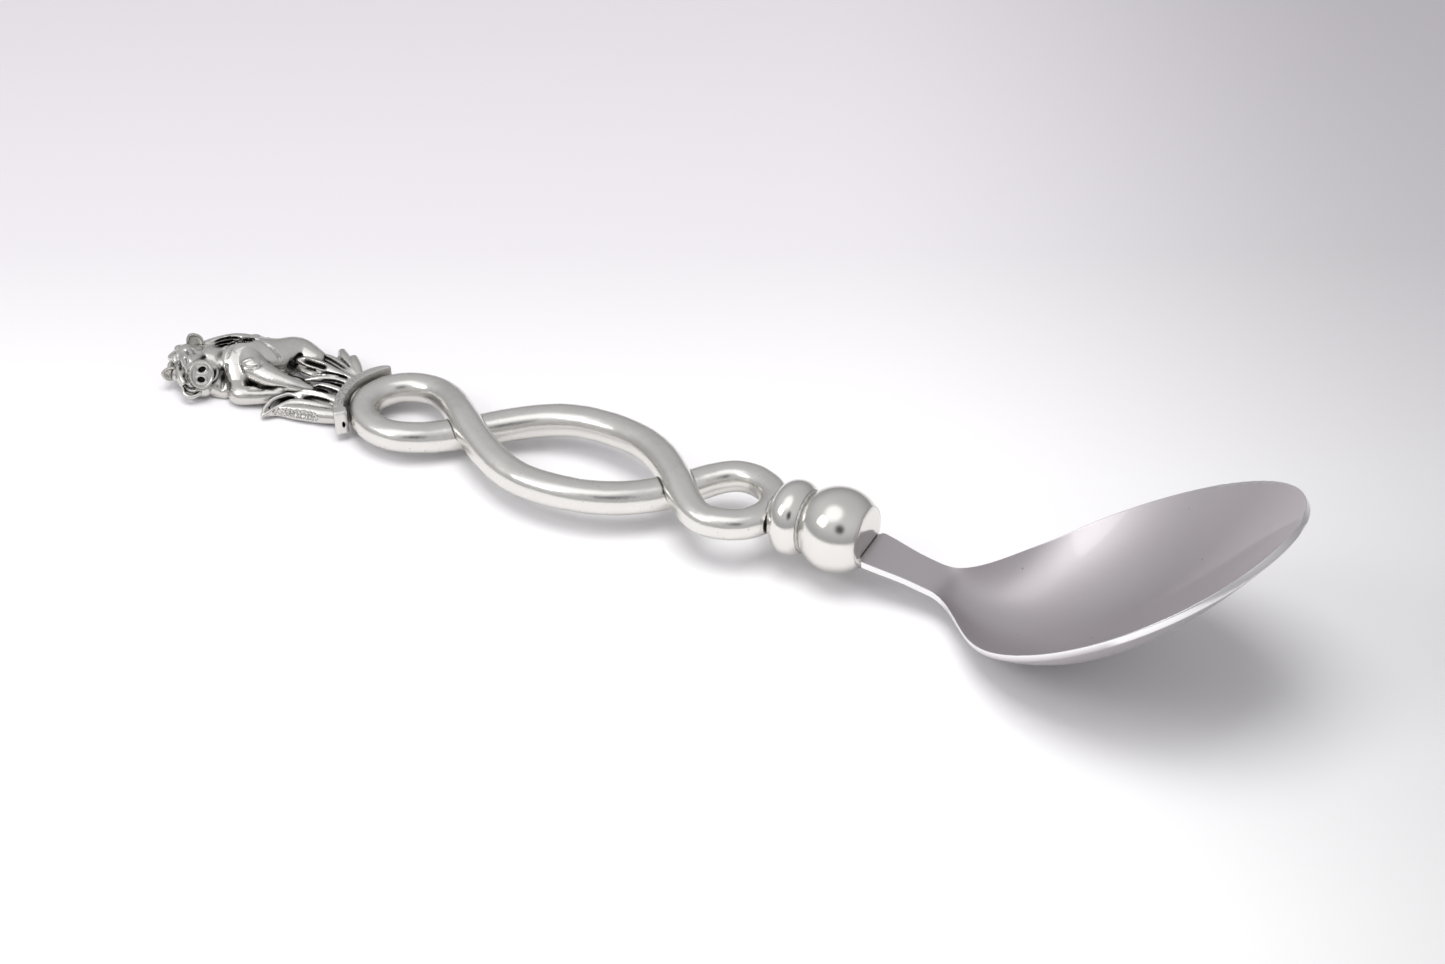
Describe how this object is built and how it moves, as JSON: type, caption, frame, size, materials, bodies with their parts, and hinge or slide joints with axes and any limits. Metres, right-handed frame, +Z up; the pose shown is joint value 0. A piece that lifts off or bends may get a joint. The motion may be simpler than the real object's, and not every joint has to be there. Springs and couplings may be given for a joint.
{
  "type": "souvenir spoon",
  "caption": "Serving spoon with an oval bowl, a cast handle of two twisted rods with open loops, a ball and bead ferrule, and a seated warthog finial.",
  "frame": {"origin": "on the table, under the middle of the spoon's box", "axes": "+X along the spoon towards the tip of the bowl, +Y across it, +Z up from the table"},
  "size_m": [0.2271, 0.0468, 0.044],
  "materials": {
    "satin_steel": "fine satin, bright worn rim",
    "polished_pewter": "hand polished cast pewter",
    "antiqued_pewter": "cast pewter, blackened in the recesses and polished on the high places",
    "solder": "dull pitted pewter solder",
    "epoxy": "hard grey epoxy"
  },
  "bodies": {
    "root": {"spoon_blade": "satin_steel", "tang_bond": "epoxy", "ball_ferrule": "polished_pewter", "seam_solder": "solder", "bead_ferrule": "polished_pewter", "collar_solder": "solder", "near_rod": "polished_pewter", "far_rod": "polished_pewter", "crescent_band": "antiqued_pewter", "crescent_solder": "solder", "leaf_spray": "antiqued_pewter", "warthog_figure": "antiqued_pewter"}
  },
  "joints": []
}
